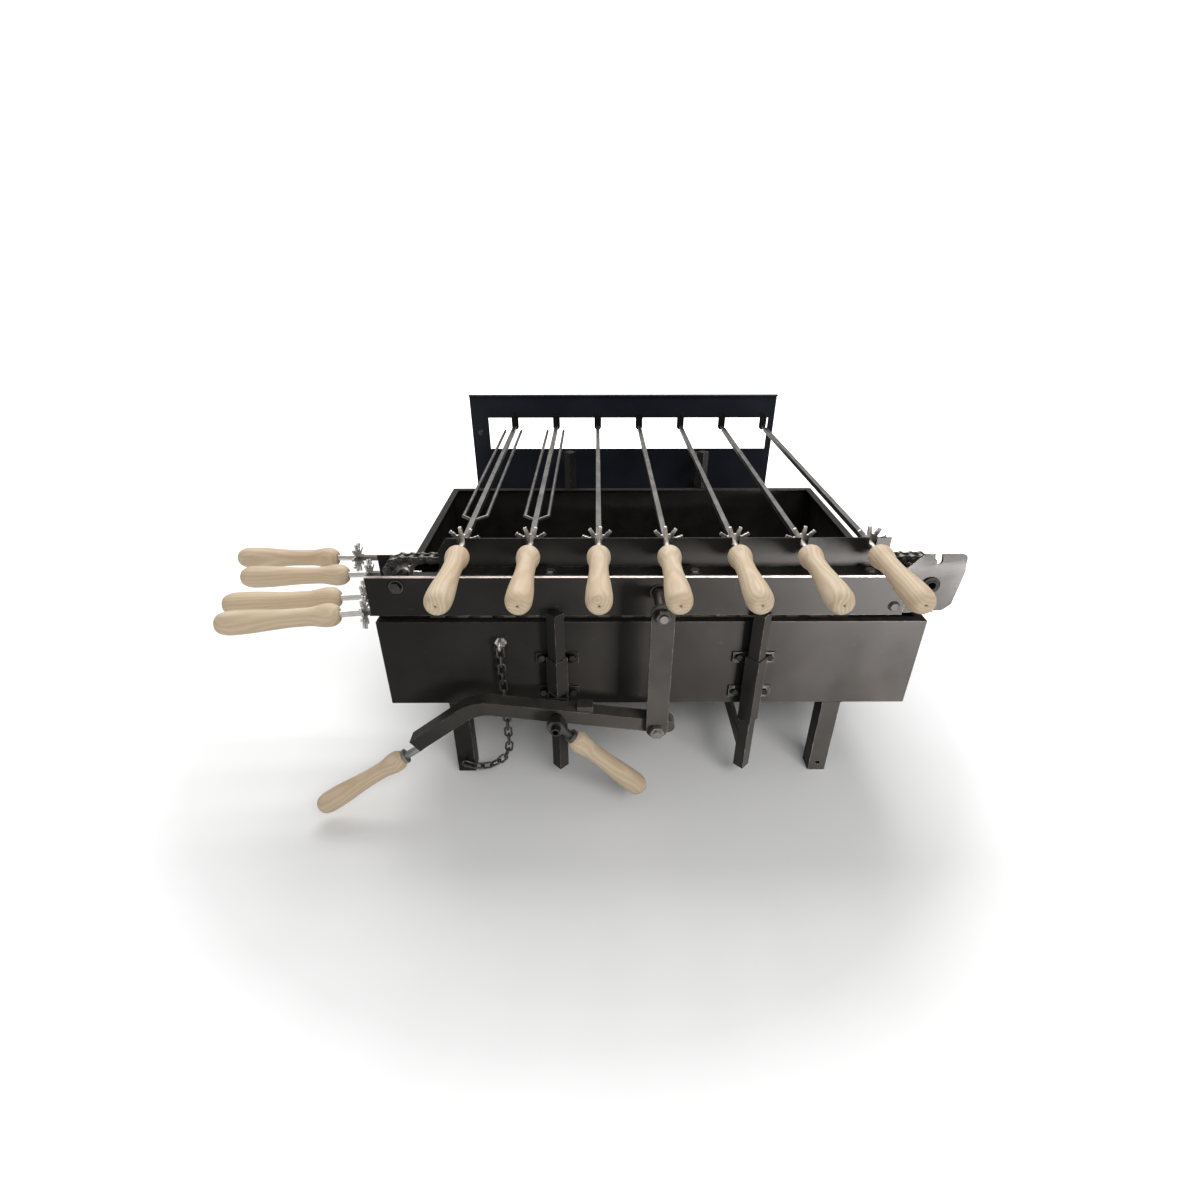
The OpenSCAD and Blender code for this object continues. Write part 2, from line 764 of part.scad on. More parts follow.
module lift_link() {
    slot_half = 2.5;
    slot_r = bolt_r + 0.5;
    color(steel_black) placed() difference() {
        union() {
            block([link_low[0] - link_w / 2, link_y, link_low[1]],
                  [link_low[0] + link_w / 2, link_y + link_t, link_high[1]]);
            for (z = [link_low[1], link_high[1]])
                bar_y(link_low[0], z, link_y, link_y + link_t, link_w / 2);
        }
        bar_y(link_high[0], link_high[1], link_y - 1, link_y + link_t + 1, bolt_r + gap);
        for (s = [-1, 1])
            bar_y(link_low[0] + s * slot_half, link_low[1], link_y - 1, link_y + link_t + 1, slot_r);
        block([link_low[0] - slot_half, link_y - 1, link_low[1] - slot_r],
              [link_low[0] + slot_half, link_y + link_t + 1, link_low[1] + slot_r]);
    }
}

module lock_frame() {
    translate([pivot[0], lock_y, pivot[1]]) rotate([0, 135, 0]) children();
}

module lock_lever() {
    hub = 8;
    collar = 5;
    color(steel_bare) placed() difference() {
        union() {
            hex_y(pivot[0], pivot[1], lock_y - hub, lock_y + hub, 12);
            lock_frame() cylinder(r = lever_tang_r, h = lock_neck + tang_len);
            lock_frame() translate([0, 0, lock_neck - collar]) cylinder(r = 9, h = collar - gap);
        }
        bar_y(pivot[0], pivot[1], lock_y - 20, lock_y + 20, stud_r + gap);
    }
}

module lock_handle() {
    color(beech) placed() lock_frame() translate([0, 0, lock_neck])
        grip(grip_len, lever_grip_d, lever_tang_r);
}

// ---------------------------------------------------------------- drive

module drive_shaft() {
    shaft_end = -258;
    socket_r = 5.05;
    socket_depth = 20;
    collar_r = 10;
    color(steel_bare) placed() difference() {
        union() {
            bar_y(drive_x, wheel_z, shaft_end, rail_rear + 4, shaft_r);
            bar_y(drive_x, wheel_z, wheel_y + wheel_t / 2, rail_rear - sheet - 0.5, collar_r);
        }
        bar_y(drive_x, wheel_z, shaft_end - 1, shaft_end + socket_depth, socket_r);
    }
}

module drive_sprocket() {
    color(zinc) placed()
        translate([drive_x, wheel_y, wheel_z]) rotate([90, 0, 0]) wheel(90, shaft_r);
}

module idler_sprocket() {
    hub_r = 8;
    color(zinc) placed() translate([idler_x, wheel_y, wheel_z]) rotate([90, 0, 0]) {
        wheel(90, axle_r + gap);
        difference() {
            cylinder(r = hub_r, h = hub_r, center = true);
            cylinder(r = axle_r + gap, h = 2 * hub_r, center = true);
            cylinder(r = hub_r - 0.5, h = wheel_t, center = true);
        }
    }
}

// ---------------------------------------------------------------- skewers

// Skewer along +Z from its wheel's middle; the handle's tang is along -Z
module skewer_body(length, neck, a) {
    wheel(a, 0);
    translate([0, 0, -neck - tang_len]) cylinder(r = neck_r, h = neck + tang_len + 1);
    translate([-rod_w / 2, -rod_w / 2, 0]) cube([rod_w, rod_w, length - tip_len]);
    translate([0, 0, length - tip_len - 1]) cylinder(r = tip_r, h = tip_len + 1 - point_len);
    translate([0, 0, length - point_len]) cylinder(r1 = tip_r, r2 = point_r, h = point_len);
}

// Crossbar and two side prongs of a fork, along +Z from the crossbar
module fork(length) {
    for (s = [-1, 1]) {
        rod_between([0, 0, -2], [s * fork_half, 0, fork_rise], prong_r);
        translate([s * fork_half, 0, fork_rise]) {
            sphere(r = knee_r, $fn = 32);
            cylinder(r = prong_r, h = length - fork_rise);
        }
        translate([s * fork_half, 0, length]) cylinder(r1 = prong_r, r2 = point_r, h = point_len);
    }
}

module skewer(i) {
    color(steel_bare) placed() translate([skewer_x(i), wheel_y, axis_z]) rotate([-90, 0, 0]) {
        skewer_body(tip_y - wheel_y, neck_len, -gap_angle(i));
        if (i <= 2)
            translate([0, 0, fork_y - wheel_y]) fork(prong_end - fork_y);
    }
}

module handle(i) {
    color(beech) placed()
        translate([skewer_x(i), grip_y, axis_z]) rotate([90, 0, 0]) grip(grip_len, small_grip_d, neck_r);
}

// Frame of large skewer i, +Z along its rod, from the middle of its wheel
module large_frame(i) {
    translate([large[i][0], large_wheel_y(i), large_z]) rotate(large_yaw(i)) rotate([0, 90, 0]) children();
}

module large_skewer(i) {
    color(steel_bare) placed() large_frame(i) skewer_body(large_len, large_neck, 7 * i);
}

module large_handle(i) {
    color(beech) placed() large_frame(i)
        translate([0, 0, -large_neck]) rotate([180, 0, 0]) grip(big_grip_len, big_grip_d, neck_r);
}

fire_box();
charcoal_grate();
legs();
front_sleeves();
rear_sleeves();
sleeve_bolts();
lever_pivot();
chain_eye();
retaining_chain();
front_rail();
notch_plate();
base_bars();
rear_panel();
tip_hooks();
front_posts();
rear_posts();
motor_bracket();
rail_bolts();
idler_axle();
drive_bush();
drive_chain();
link_bolt();
link_spacers();
lever_arm();
lever_tang();
lever_handle();
lever_bolt();
lift_link();
lock_lever();
lock_handle();
drive_shaft();
drive_sprocket();
idler_sprocket();
skewer(1);  // skewer_1
skewer(2);  // skewer_2
skewer(3);  // skewer_3
skewer(4);  // skewer_4
skewer(5);  // skewer_5
skewer(6);  // skewer_6
skewer(7);  // skewer_7
handle(1);  // handle_1
handle(2);  // handle_2
handle(3);  // handle_3
handle(4);  // handle_4
handle(5);  // handle_5
handle(6);  // handle_6
handle(7);  // handle_7
large_skewer(0);  // large_skewer_1
large_skewer(1);  // large_skewer_2
large_skewer(2);  // large_skewer_3
large_skewer(3);  // large_skewer_4
large_handle(0);  // large_handle_1
large_handle(1);  // large_handle_2
large_handle(2);  // large_handle_3
large_handle(3);  // large_handle_4
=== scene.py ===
import json
import math

import bmesh
import bpy
from mathutils import Matrix, Vector, noise

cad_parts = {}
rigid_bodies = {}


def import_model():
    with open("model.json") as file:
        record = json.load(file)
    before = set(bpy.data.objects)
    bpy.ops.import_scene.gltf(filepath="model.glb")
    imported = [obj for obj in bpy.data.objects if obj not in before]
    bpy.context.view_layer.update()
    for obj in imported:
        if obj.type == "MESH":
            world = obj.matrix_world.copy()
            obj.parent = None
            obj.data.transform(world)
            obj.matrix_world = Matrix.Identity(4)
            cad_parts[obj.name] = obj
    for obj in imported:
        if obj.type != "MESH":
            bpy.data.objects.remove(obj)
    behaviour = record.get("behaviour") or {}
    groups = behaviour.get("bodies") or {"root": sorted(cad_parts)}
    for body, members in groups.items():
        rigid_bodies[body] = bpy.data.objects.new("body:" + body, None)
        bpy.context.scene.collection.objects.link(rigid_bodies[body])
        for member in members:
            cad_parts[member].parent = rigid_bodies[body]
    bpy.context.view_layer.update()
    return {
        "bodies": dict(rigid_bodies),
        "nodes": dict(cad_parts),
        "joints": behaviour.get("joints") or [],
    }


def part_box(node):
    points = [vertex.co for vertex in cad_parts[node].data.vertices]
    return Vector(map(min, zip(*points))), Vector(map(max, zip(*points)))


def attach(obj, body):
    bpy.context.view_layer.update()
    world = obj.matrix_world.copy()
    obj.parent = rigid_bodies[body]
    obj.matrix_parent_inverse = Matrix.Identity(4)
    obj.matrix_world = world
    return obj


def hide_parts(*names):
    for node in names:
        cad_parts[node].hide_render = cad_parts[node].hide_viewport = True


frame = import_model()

# Looks of the rotisserie spit roaster: materials for the CAD nodes, turned wooden handles, weld beads,
# washers and threads. Lengths are millimetres in the box's own frame (middle of the charcoal box at
# x = y = 0, feet at z = 0) until at() turns them into the row's metres.

MM = 0.001
FRONT = (0, -1, 0)
UP = (0, 0, 1)
box_low, box_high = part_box("fire_box")
MIDDLE = (box_low + box_high) / 2
HALF_X = (box_high.x - box_low.x) / 2 / MM
HALF_Y = (box_high.y - box_low.y) / 2 / MM
BOX_Z = box_low.z / MM
RIM_Z = box_high.z / MM
LIP_Y = -253.5  # just behind the rail's front plate
LIP_Z = 330  # the plate's top edge
SPITS = [n for n in frame["bodies"] if n.startswith("spit_")]
LARGE_SPITS = [n for n in frame["bodies"] if n.startswith("large_spit_")]
JOINTS = {j["name"]: j for j in frame["joints"]}


def at(x, y, z):
    """Row-frame metres of a place given in the box's frame in millimetres."""
    return Vector((MIDDLE.x + x * MM, MIDDLE.y + y * MM, z * MM))


def local(point):
    """The box's frame in millimetres of a row-frame point."""
    return Vector(((point[0] - MIDDLE.x) / MM, (point[1] - MIDDLE.y) / MM, point[2] / MM))


# ---------------------------------------------------------------- node materials


class Finish:
    """A procedural material built from short calls. Textures use the object's own coordinates, in metres."""

    def __init__(self, name, metallic=0.0, specular=0.5):
        self.mat = bpy.data.materials.new(name)
        self.mat.use_nodes = True
        self.tree = self.mat.node_tree
        self.tree.nodes.clear()
        out = self.add("ShaderNodeOutputMaterial")
        self.bsdf = self.add("ShaderNodeBsdfPrincipled")
        self.tree.links.new(self.bsdf.outputs[0], out.inputs["Surface"])
        self.bsdf.inputs["Metallic"].default_value = metallic
        self.bsdf.inputs["Specular IOR Level"].default_value = specular
        self.coords = self.add("ShaderNodeTexCoord").outputs["Object"]
        self.geometry = self.add("ShaderNodeNewGeometry")
        self.last_normal = None

    def add(self, kind, **values):
        node = self.tree.nodes.new(kind)
        for key, value in values.items():
            setattr(node, key, value)
        return node

    def put(self, socket, value):
        if isinstance(value, bpy.types.NodeSocket):
            self.tree.links.new(value, socket)
        else:
            socket.default_value = value

    def stretched(self, stretch, turn=(0, 0, 0)):
        node = self.add("ShaderNodeMapping")
        self.put(node.inputs["Vector"], self.coords)
        node.inputs["Scale"].default_value = stretch
        node.inputs["Rotation"].default_value = turn
        return node.outputs[0]

    def noise(self, scale, detail=3.0, roughness=0.55, coords=None, distortion=0.0):
        node = self.add("ShaderNodeTexNoise")
        self.put(node.inputs["Vector"], coords or self.coords)
        node.inputs["Scale"].default_value = scale
        node.inputs["Detail"].default_value = detail
        node.inputs["Roughness"].default_value = roughness
        node.inputs["Distortion"].default_value = distortion
        return node.outputs["Fac"]

    def cells(self, scale, coords=None, feature="F1", output="Distance"):
        node = self.add("ShaderNodeTexVoronoi", feature=feature)
        self.put(node.inputs["Vector"], coords or self.coords)
        node.inputs["Scale"].default_value = scale
        return node.outputs[output]

    def rings(self, scale, distortion, coords=None, detail=2.0, direction="Z"):
        node = self.add("ShaderNodeTexWave", wave_type="RINGS", rings_direction=direction)
        self.put(node.inputs["Vector"], coords or self.coords)
        node.inputs["Scale"].default_value = scale
        node.inputs["Distortion"].default_value = distortion
        node.inputs["Detail"].default_value = detail
        node.inputs["Detail Scale"].default_value = 1.5
        return node.outputs["Fac"]

    def ramp(self, value, low, high, a=0.0, b=1.0):
        """Maps value from low..high to a..b, clamped."""
        node = self.add("ShaderNodeMapRange")
        self.put(node.inputs["Value"], value)
        for socket, number in zip(("From Min", "From Max", "To Min", "To Max"), (low, high, a, b)):
            node.inputs[socket].default_value = number
        return node.outputs["Result"]

    def math(self, operation, a, b=0.0):
        node = self.add("ShaderNodeMath", operation=operation)
        self.put(node.inputs[0], a)
        self.put(node.inputs[1], b)
        return node.outputs[0]

    def times(self, a, b):
        return self.math("MULTIPLY", a, b)

    def plus(self, a, b):
        return self.math("ADD", a, b)

    def mix(self, factor, a, b):
        """Mixes two colours, given as sockets or as (r, g, b)."""
        node = self.add("ShaderNodeMix", data_type="RGBA")
        self.put(node.inputs[0], factor)
        for socket, value in ((node.inputs[6], a), (node.inputs[7], b)):
            self.put(socket, value if isinstance(value, bpy.types.NodeSocket) else (*value, 1.0))
        return node.outputs[2]

    def split(self, vector):
        node = self.add("ShaderNodeSeparateXYZ")
        self.put(node.inputs[0], vector)
        return node.outputs

    def bump(self, height, strength, distance):
        node = self.add("ShaderNodeBump")
        node.inputs["Strength"].default_value = strength
        node.inputs["Distance"].default_value = distance
        self.put(node.inputs["Height"], height)
        if self.last_normal:
            self.put(node.inputs["Normal"], self.last_normal)
        self.last_normal = node.outputs[0]
        self.put(self.bsdf.inputs["Normal"], self.last_normal)

    def edges(self, radius, spread=0.12):
        """1 on edges sharper than the radius, in metres, and 0 on flats."""
        soft = self.add("ShaderNodeBevel", samples=4)
        soft.inputs["Radius"].default_value = radius
        dot = self.add("ShaderNodeVectorMath", operation="DOT_PRODUCT")
        self.put(dot.inputs[0], soft.outputs[0])
        self.put(dot.inputs[1], self.geometry.outputs["Normal"])
        return self.ramp(dot.outputs["Value"], 1.0, 1.0 - spread)

    def upward(self):
        """1 where a surface faces up."""
        return self.ramp(self.split(self.geometry.outputs["Normal"])[2], 0.4, 0.95)

    def finish(self, color, roughness):
        self.put(self.bsdf.inputs["Base Color"], color)
        self.put(self.bsdf.inputs["Roughness"], roughness)
        return self.mat


SHEET = 3 * MM  # depth over which the soot starts behind the fire box's outer faces
DUST = (0.16, 0.145, 0.125)
SCRATCHED = (0.11, 0.105, 0.10)
WORN = (0.17, 0.16, 0.15)
SOOT = ((0.012, 0.010, 0.009), (0.075, 0.062, 0.052))
# Colour of the painted highlight along the top edge of the rail's front plate.
LIP_HIGHLIGHT_TONE = (0.50, 0.44, 0.42)


def painted_steel(name, dark, light, rough, soot=False, ripple=0.25, specular=0.12, lip_highlight=False):
    """Satin paint on folded sheet: orange peel, faint waves, scuffed edges and dust on what faces up."""
    f = Finish(name, specular=specular)
    mottle = f.noise(9, 5, 0.6)
    color = f.mix(f.ramp(mottle, 0.3, 0.7), dark, light)
    scratch = f.noise(60, 2, 0.5, f.stretched((1, 14, 9), (0.3, 0.5, 0.8)))
    scratch = f.ramp(scratch, 0.72, 0.78)
    smear = f.noise(22, 4, 0.65, f.stretched((1, 1, 0.35)))
    wear = f.times(f.edges(0.0011), f.ramp(f.noise(140, 4, 0.7), 0.42, 0.66))
    dust = f.times(f.upward(), f.ramp(f.noise(75, 5, 0.7), 0.35, 0.85, 0.05, 0.5))
    color = f.mix(f.times(dust, 0.35), color, DUST)
    color = f.mix(f.times(scratch, 0.14), color, SCRATCHED)
    color = f.mix(f.times(wear, 0.75), color, WORN)
    roughness = f.ramp(smear, 0.25, 0.75, rough - 0.08, rough + 0.10)
    roughness = f.plus(roughness, f.times(dust, 0.25))
    if soot:
        burnt = burnt_inside(f)
        color = f.mix(burnt, color, f.mix(f.ramp(f.noise(26, 6, 0.7), 0.35, 0.7), *SOOT))
        roughness = f.plus(roughness, f.times(burnt, 0.35))
    # Painted highlight: a bright strip along the top edge of the rail's front plate, where its fold catches
    # the light, painted into the colour.
    if lip_highlight:
        color = f.mix(highlight_along_lip(f), color, LIP_HIGHLIGHT_TONE)
    f.bump(f.noise(5.5, 2, 0.4), ripple, 0.0022)
    f.bump(f.noise(1100, 2, 0.5), 0.18, 0.00025)
    return f.finish(color, roughness)


def burnt_inside(f):
    """1 on the fire box's inner faces, less towards the rim, and 0 on its outside."""
    x, y, z = f.split(f.coords)
    inside = 1.0
    for along, middle, half in ((x, MIDDLE.x, HALF_X * MM), (y, MIDDLE.y, HALF_Y * MM)):
        distance = f.math("ABSOLUTE", f.math("SUBTRACT", along, middle))
        inside = f.times(f.ramp(distance, half - SHEET, half - 0.6 * SHEET, 1, 0), inside)
    return f.times(inside, f.ramp(z, (RIM_Z - 40) * MM, (RIM_Z - 2) * MM, 1, 0.25))


def highlight_along_lip(f):
    """Painted highlight in patches along the top edge of the rail's front plate, where its fold catches the
    light.
    """
    x, y, z = f.split(f.coords)
    top = f.ramp(z, (LIP_Z - 2.4) * MM, (LIP_Z - 1.6) * MM)
    front = f.ramp(y, at(0, LIP_Y - 1, 0).y, at(0, LIP_Y - 0.5, 0).y, 1, 0)
    return f.times(f.times(top, front), f.ramp(f.noise(45, 4, 0.6), 0.3, 0.5, 0.45, 1))


def bare_steel(name, light, dark, rough, along=(1, 1, 1), grime=0.35, rust=0.0):
    """Drawn or plated steel: lengthwise lines, cloudy tarnish, brown stains and specks of rust."""
    f = Finish(name, metallic=1.0)
    lines = f.noise(420, 3, 0.6, f.stretched(along))
    cloud = f.noise(38, 5, 0.65)
    color = f.mix(f.ramp(cloud, 0.3, 0.72), dark, light)
    stain = f.ramp(f.noise(17, 5, 0.7, distortion=0.6), 0.56, 0.72, 0, grime)
    color = f.mix(stain, color, (0.16, 0.105, 0.065))
    if rust:
        color = f.mix(f.ramp(f.noise(210, 4, 0.75), 0.66, 0.74, 0, rust), color, (0.30, 0.13, 0.05))
    roughness = f.ramp(lines, 0.25, 0.8, rough - 0.09, rough + 0.14)
    roughness = f.plus(roughness, f.times(stain, 0.35))
    f.bump(lines, 0.10, 0.00012)
    f.bump(f.noise(130, 3, 0.6), 0.12, 0.0003)
    return f.finish(color, roughness)


def turned_wood(name, seed):
    """Bare turned beech, its grain along the handle's own Z: growth bands, ray flecks and tool marks."""
    f = Finish(name, specular=0.35)
    shift = f.add("ShaderNodeMapping")
    f.put(shift.inputs["Vector"], f.coords)
    off_centre = (0.021 * math.sin(seed), 0.018 * math.cos(1.7 * seed))
    shift.inputs["Location"].default_value = (*off_centre, 0.37 * seed)
    shift.inputs["Scale"].default_value = (1, 1, 0.16)
    f.coords = shift.outputs[0]
    bands = f.rings(75, 5.5, detail=3.0)
    tone = f.noise(34, 4, 0.6, distortion=0.8)
    color = f.mix(f.ramp(bands, 0.15, 0.9), (0.50, 0.395, 0.27), (0.585, 0.48, 0.35))
    color = f.mix(f.ramp(tone, 0.38, 0.72, 0, 0.55), color, (0.52, 0.36, 0.235))
    color = f.mix(f.ramp(f.noise(15, 3, 0.5), 0.5, 0.75, 0, 0.35), color, (0.60, 0.51, 0.35))
    flecks = f.cells(1500, f.stretched((1, 1, 0.32)))
    fleck = f.times(f.ramp(flecks, 0.10, 0.22, 1, 0), f.ramp(f.noise(300, 2), 0.45, 0.6))
    color = f.mix(f.times(fleck, 0.5), color, (0.33, 0.20, 0.10))
    grime = f.ramp(f.noise(60, 5, 0.7), 0.62, 0.80, 0, 0.30)
    color = f.mix(grime, color, (0.30, 0.24, 0.17))
    fibre = f.noise(900, 3, 0.6, f.stretched((1, 1, 0.05)))
    f.bump(fibre, 0.16, 0.00016)
    f.bump(bands, 0.08, 0.0002)
    lathe = f.add("ShaderNodeTexWave", wave_type="BANDS", bands_direction="Z")
    f.put(lathe.inputs["Vector"], f.coords)
    lathe.inputs["Scale"].default_value = 1900
    lathe.inputs["Distortion"].default_value = 1.2
    f.bump(lathe.outputs["Fac"], 0.05, 0.00008)
    return f.finish(color, f.ramp(fibre, 0.3, 0.8, 0.50, 0.68))


def oiled_chain(name):
    """Dark oiled links, polished bright where they rub."""
    f = Finish(name, metallic=0.85)
    patch = f.noise(160, 4, 0.65)
    color = f.mix(f.ramp(patch, 0.35, 0.7), (0.075, 0.068, 0.060), (0.21, 0.20, 0.185))
    rub = f.times(f.edges(0.0007), f.ramp(f.noise(260, 3), 0.35, 0.6))
    color = f.mix(f.times(rub, 0.85), color, (0.46, 0.44, 0.41))
    f.bump(f.noise(700, 3, 0.6), 0.15, 0.0002)
    return f.finish(color, f.ramp(patch, 0.3, 0.75, 0.30, 0.52))


def weld_steel(name):
    """Painted-over weld metal with a little scale."""
    f = Finish(name, metallic=0.35, specular=0.5)
    speck = f.noise(520, 4, 0.7)
    color = f.mix(f.ramp(speck, 0.4, 0.7), (0.022, 0.020, 0.018), (0.075, 0.068, 0.060))
    f.bump(speck, 0.25, 0.0003)
    return f.finish(color, f.ramp(speck, 0.3, 0.7, 0.38, 0.6))


def pale_floor(name):
    """Pale matt floor that turns plain white far from the object, for the camera only."""
    f = Finish(name, specular=0.2)
    color = f.mix(f.ramp(f.noise(2.5, 3, 0.5), 0.3, 0.7), (0.86, 0.86, 0.855), (0.90, 0.90, 0.895))
    f.bump(f.noise(300, 3, 0.6), 0.05, 0.0002)
    x, y, _ = f.split(f.coords)
    distance = f.math("SQRT", f.plus(f.times(x, x), f.times(y, y)))
    far = f.ramp(distance, 0.62, 1.3)
    seen = f.add("ShaderNodeLightPath").outputs["Is Camera Ray"]
    f.put(f.bsdf.inputs["Emission Strength"], f.times(far, seen))
    f.bsdf.inputs["Emission Color"].default_value = (1, 1, 1, 1)
    return f.finish(color, 0.75)


SATIN = ((0.0050, 0.0045, 0.0040), (0.0105, 0.0095, 0.0085))
BLACK = painted_steel("satin_black", *SATIN, 0.44)
BOX_BLACK = painted_steel("satin_black_burnt_inside", *SATIN, 0.44, soot=True, ripple=0.35)
# The rail's satin black carries a painted highlight along its front plate's top edge.
RAIL_BLACK = painted_steel("satin_black_painted_highlight", *SATIN, 0.44, lip_highlight=True)
# Gloss black paint on the rear panel. Its bluish, raised tone is a painted reflection of the sky.
PANEL_BLACK_PAINTED_REFLECTION = painted_steel("gloss_black_painted_reflection", (0.009, 0.011, 0.015), (0.018, 0.021, 0.028), 0.34, ripple=0.3)
ARM_BLACK = painted_steel("worn_black", (0.011, 0.010, 0.009), (0.024, 0.022, 0.020), 0.46)
GRATE = painted_steel("burnt_grate", (0.020, 0.017, 0.014), (0.070, 0.060, 0.050), 0.70, ripple=0.1)
ALONG_Y = (1, 0.03, 1)
ALONG_X = (0.03, 1, 1)
EVEN = (1, 1, 1)
ROD_TONES = ((0.185, 0.175, 0.165), (0.085, 0.08, 0.075))
ROD_STEEL = bare_steel("rod_steel", *ROD_TONES, 0.44, ALONG_Y, 0.45)
LONG_ROD_STEEL = bare_steel("long_rod_steel", *ROD_TONES, 0.44, ALONG_X, 0.45)
PLAIN_STEEL = bare_steel("plain_steel", (0.40, 0.39, 0.37), (0.22, 0.21, 0.195), 0.42, EVEN, 0.35, 0.25)
DARK_STEEL = bare_steel("dark_steel", (0.15, 0.14, 0.13), (0.065, 0.06, 0.055), 0.42, EVEN, 0.35, 0.20)
DARK_BOLT = bare_steel("blackened_bolt", (0.085, 0.08, 0.075), (0.035, 0.033, 0.030), 0.38, EVEN, 0.30, 0.15)
ZINC = bare_steel("bright_zinc", (0.72, 0.69, 0.66), (0.50, 0.475, 0.45), 0.40, EVEN, 0.15, 0.15)
DULL_ZINC = bare_steel("dull_zinc", (0.40, 0.38, 0.355), (0.20, 0.19, 0.175), 0.40, EVEN, 0.25, 0.30)
CHAIN = oiled_chain("oiled_chain")
WELD = weld_steel("weld_metal")
WOODS = [turned_wood("turned_beech_%d" % k, k + 1) for k in range(5)]

# ---------------------------------------------------------------- CAD nodes: materials and soft edges


def dress(node, material, edge):
    """Gives a CAD node its material and a soft edge, in millimetres, by modifiers."""
    piece = frame["nodes"][node]
    piece.data.materials.clear()
    piece.data.materials.append(material)
    for face in piece.data.polygons:
        face.use_smooth = True
    weld = piece.modifiers.new("join", "WELD")
    weld.merge_threshold = 0.00001
    flat = piece.modifiers.new("flat", "DECIMATE")
    flat.decimate_type = "DISSOLVE"
    flat.angle_limit = math.radians(0.6)
    flat.delimit = {"MATERIAL"}
    soft = piece.modifiers.new("soft_edge", "BEVEL")
    soft.width = edge * MM
    soft.segments = 2
    soft.limit_method = "ANGLE"
    soft.angle_limit = math.radians(32)
    soft.harden_normals = True
    shade = piece.modifiers.new("shade", "WEIGHTED_NORMAL")
    shade.keep_sharp = False


DRESS = {
    "fire_box": (BOX_BLACK, 0.9), "charcoal_grate": (GRATE, 0.5), "legs": (BLACK, 0.7),
    "front_sleeves": (BLACK, 0.5), "rear_sleeves": (BLACK, 0.5), "sleeve_bolts": (DARK_BOLT, 0.5),
    "lever_pivot": (DARK_BOLT, 0.6), "chain_eye": (ZINC, 0.3), "retaining_chain": (DARK_STEEL, 0.1),
    "front_rail": (RAIL_BLACK, 0.6), "notch_plate": (BLACK, 0.4), "base_bars": (BLACK, 0.8),
    "rear_panel": (PANEL_BLACK_PAINTED_REFLECTION, 0.6), "tip_hooks": (BLACK, 0.4), "front_posts": (BLACK, 0.7),
    "rear_posts": (BLACK, 0.7), "motor_bracket": (BLACK, 0.5), "rail_bolts": (PLAIN_STEEL, 0.4),
    "idler_axle": (DARK_BOLT, 0.5), "drive_bush": (DARK_STEEL, 0.4), "drive_chain": (CHAIN, 0.25),
    "link_bolt": (DULL_ZINC, 0.5), "link_spacers": (DARK_STEEL, 0.5), "lever_arm": (ARM_BLACK, 0.9),
    "lever_tang": (PLAIN_STEEL, 0.5), "lever_bolt": (DULL_ZINC, 0.5), "lift_link": (ARM_BLACK, 0.6),
    "lock_lever": (DARK_STEEL, 0.6), "drive_shaft": (DARK_STEEL, 0.5),
    "drive_sprocket": (ZINC, 0.35), "idler_sprocket": (ZINC, 0.35),
}
for node, (material, edge) in DRESS.items():
    dress(node, material, edge)
ROD_EDGE = 0.35
for k in range(len(SPITS)):
    dress("skewer_%d" % (k + 1), ROD_STEEL, ROD_EDGE)
for k in range(len(LARGE_SPITS)):
    dress("large_skewer_%d" % (k + 1), LONG_ROD_STEEL, ROD_EDGE)

# ---------------------------------------------------------------- mesh helpers


def new_piece(name, mesh, material, body, place=None):
    piece = bpy.data.objects.new(name, mesh)
    bpy.context.scene.collection.objects.link(piece)
    mesh.materials.append(material)
    for face in mesh.polygons:
        face.use_smooth = True
    if place:
        piece.matrix_world = place
    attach(piece, body)
    return piece


def frame_along(origin, axis):
    """Matrix whose Z runs along the axis, its place at the origin."""
    z = Vector(axis).normalized()
    x = z.orthogonal().normalized()
    if abs(z.z) < 0.99:
        x = Vector((0, 0, 1)).cross(z).normalized()
    y = z.cross(x)
    turn = Matrix((x, y, z)).transposed().to_4x4()
    return Matrix.Translation(origin) @ turn


def lathe(bm, profile, sides, place=Matrix.Identity(4), wobble=None):
    """Turns a profile of (radius, z) about Z. It starts and ends on the axis, or else it is closed."""
    on_axis = profile[0][0] == 0
    rows = []
    for radius, z in profile:
        if radius == 0:
            rows.append([bm.verts.new(place @ Vector((0, 0, z)))])
            continue
        row = []
        for k in range(sides):
            a = 2 * math.pi * k / sides
            r = radius + (wobble(a, z) if wobble else 0)
            row.append(bm.verts.new(place @ Vector((r * math.cos(a), r * math.sin(a), z))))
        rows.append(row)
    pairs = list(zip(rows, rows[1:])) + ([] if on_axis else [(rows[-1], rows[0])])
    for low, high in pairs:
        for k in range(sides):
            n = (k + 1) % sides
            ring = [low[k % len(low)], low[n % len(low)], high[n % len(high)], high[k % len(high)]]
            bm.faces.new(list(dict.fromkeys(ring)))


def mesh_of(name, bm):
    bmesh.ops.recalc_face_normals(bm, faces=bm.faces)
    mesh = bpy.data.meshes.new(name)
    bm.to_mesh(mesh)
    bm.free()
    return mesh


# ---------------------------------------------------------------- wooden handles

GRIP_FACE = 7 * MM
TANG_DEPTH = 60.05 * MM
GRIP_SIDES = 72
GRIP_ROWS = 80
GRIP_WAIST = 0.36
GRIP_END = 0.84


def ease(d):
    return 1.0 if d >= 1 else math.sqrt(max(0.0, 1 - (1 - d) ** 2))


def hump(u):
    return 0.0 if abs(u) >= 1 else (1 + math.cos(math.pi * u)) / 2


